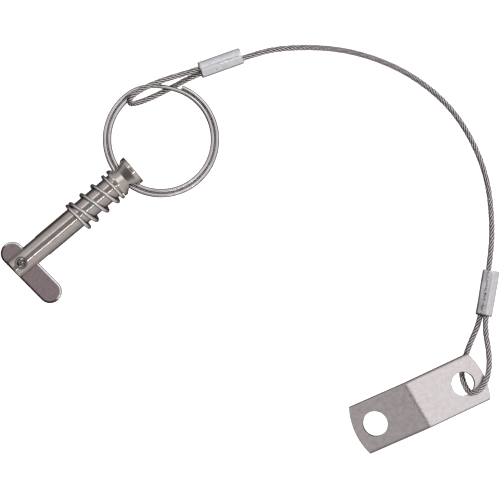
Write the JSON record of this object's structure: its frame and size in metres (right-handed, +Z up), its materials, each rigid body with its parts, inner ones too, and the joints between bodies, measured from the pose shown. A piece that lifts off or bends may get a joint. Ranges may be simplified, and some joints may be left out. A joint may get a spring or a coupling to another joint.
{
  "type": "hitch pin lock",
  "caption": "Drop-nose hitch pin with a spring round its shank, a split ring through its head and a wire-rope lanyard ending in a bent screw-down tab.",
  "frame": {"origin": "on the pin's axis, where the shank leaves the head's collar", "axes": "+X along the shank towards the nose, +Z up, +Y completes the set and points to the side where the tab lies"},
  "size_m": [0.12, 0.127, 0.0092],
  "materials": {
    "pin_steel": "turned and polished",
    "pivot_steel": "plain",
    "toggle_steel": "satin",
    "spring_steel": "drawn wire",
    "ring_steel": "polished",
    "rope_steel": "stranded wire",
    "sleeve_aluminium": "crimped satin",
    "tab_steel": "tumbled satin"
  },
  "bodies": {
    "pin": {"pin_body": "pin_steel", "pivot_pin": "pivot_steel"},
    "toggle": {"toggle_bar": "toggle_steel"},
    "spring": {"compression_spring": "spring_steel"},
    "ring": {"split_ring": "ring_steel"},
    "lanyard": {"lanyard_cable": "rope_steel", "ring_ferrule": "sleeve_aluminium", "tab_ferrule": "sleeve_aluminium"},
    "tab": {"mounting_tab": "tab_steel"}
  },
  "joints": [
    {"name": "toggle_swing", "type": "hinge", "parent": "pin", "child": "toggle", "pos_m": [0.0331, 0, 0], "axis": [0, 0, 1], "range_deg": [-226, 36]},
    {"name": "spring_squeeze", "type": "slide", "parent": "pin", "child": "spring", "axis": [-1, 0, 0], "range_m": [0, 0.0065], "stiffness_N_per_m": 4600, "deforming": ["compression_spring"]},
    {"name": "ring_swing", "type": "hinge", "parent": "pin", "child": "ring", "pos_m": [-0.00295, 0, 0], "axis": [0, 1, 0], "range_deg": [-168, 174]},
    {"name": "lanyard_slide", "type": "hinge", "parent": "ring", "child": "lanyard", "pos_m": [-0.01718, -0.0014, -0.00075], "axis": [-0.0523, 0, 0.9986], "range_deg": [-140, 65]},
    {"name": "tab_turn", "type": "hinge", "parent": "lanyard", "child": "tab", "pos_m": [-0.037, 0.10174, -0.00117], "axis": [-0.1253, 0.0212, 0.9919], "range_deg": [-75, 185]}
  ]
}
